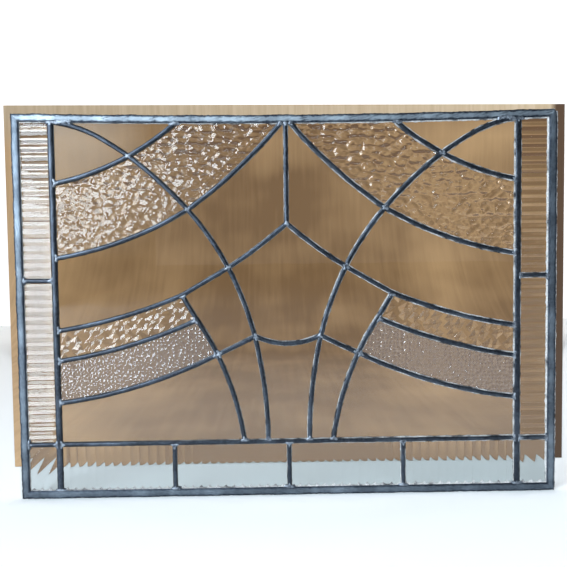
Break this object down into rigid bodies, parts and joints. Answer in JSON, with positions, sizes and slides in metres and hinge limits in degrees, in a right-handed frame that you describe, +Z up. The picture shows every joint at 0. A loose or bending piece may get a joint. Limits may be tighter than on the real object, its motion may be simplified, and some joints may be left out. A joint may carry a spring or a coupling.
{
  "type": "stained glass window",
  "caption": "Rectangular leadlight panel: clear and textured glass panes in a fan-and-swag lead came pattern with a reeded margin.",
  "frame": {"origin": "underside of the bottom border, in the middle of the panel's length and thickness", "axes": "+X to the right as seen from the front, +Z up, the front faces -Y"},
  "size_m": [0.64, 0.0068, 0.4565],
  "materials": {
    "lead_came": "dull blue-grey lead with darker patina, soft sheen on the crowns",
    "clear_glass": "clear, smooth, slightly wavy",
    "reeded_glass": "clear, straight round reeds",
    "hammered_glass": "clear, deep uneven hammered relief",
    "shard_glass": "clear, sharp slanting shard relief",
    "stipple_glass": "clear, fine stippled relief"
  },
  "bodies": {
    "root": {"glass_clear_corner_left": "clear_glass", "glass_clear_corner_right": "clear_glass", "glass_clear_foot": "clear_glass", "glass_clear_kite_left": "clear_glass", "glass_clear_kite_right": "clear_glass", "glass_clear_shoulder_left": "clear_glass", "glass_clear_shoulder_right": "clear_glass", "glass_clear_skirt_left": "clear_glass", "glass_clear_skirt_right": "clear_glass", "glass_clear_stalk_left": "clear_glass", "glass_clear_stalk_right": "clear_glass", "glass_clear_star": "clear_glass", "glass_clear_top_left": "clear_glass", "glass_clear_top_right": "clear_glass", "glass_clear_wing_left": "clear_glass", "glass_clear_wing_right": "clear_glass", "glass_hammered_inner_left": "hammered_glass", "glass_hammered_inner_right": "hammered_glass", "glass_hammered_outer_left": "hammered_glass", "glass_hammered_outer_right": "hammered_glass", "glass_reeded_base_1": "reeded_glass", "glass_reeded_base_2": "reeded_glass", "glass_reeded_base_3": "reeded_glass", "glass_reeded_base_4": "reeded_glass", "glass_reeded_corner_left": "reeded_glass", "glass_reeded_corner_right": "reeded_glass", "glass_reeded_lower_left": "reeded_glass", "glass_reeded_lower_right": "reeded_glass", "glass_reeded_upper_left": "reeded_glass", "glass_reeded_upper_right": "reeded_glass", "glass_shard_band_left": "shard_glass", "glass_shard_band_right": "shard_glass", "glass_stipple_band_left": "stipple_glass", "glass_stipple_band_right": "stipple_glass", "lead_base_bar_left": "lead_came", "lead_base_bar_middle": "lead_came", "lead_base_bar_right": "lead_came", "lead_border_bottom": "lead_came", "lead_border_left": "lead_came", "lead_border_right": "lead_came", "lead_border_top": "lead_came", "lead_centre_bar": "lead_came", "lead_cup": "lead_came", "lead_fan_left": "lead_came", "lead_fan_right": "lead_came", "lead_low_swag_left": "lead_came", "lead_low_swag_right": "lead_came", "lead_post_left": "lead_came", "lead_post_right": "lead_came", "lead_rail_left": "lead_came", "lead_rail_middle": "lead_came", "lead_rail_right": "lead_came", "lead_side_bar_left": "lead_came", "lead_side_bar_right": "lead_came", "lead_stem_left": "lead_came", "lead_stem_right": "lead_came", "lead_thin_swag_left": "lead_came", "lead_thin_swag_right": "lead_came"}
  },
  "joints": []
}
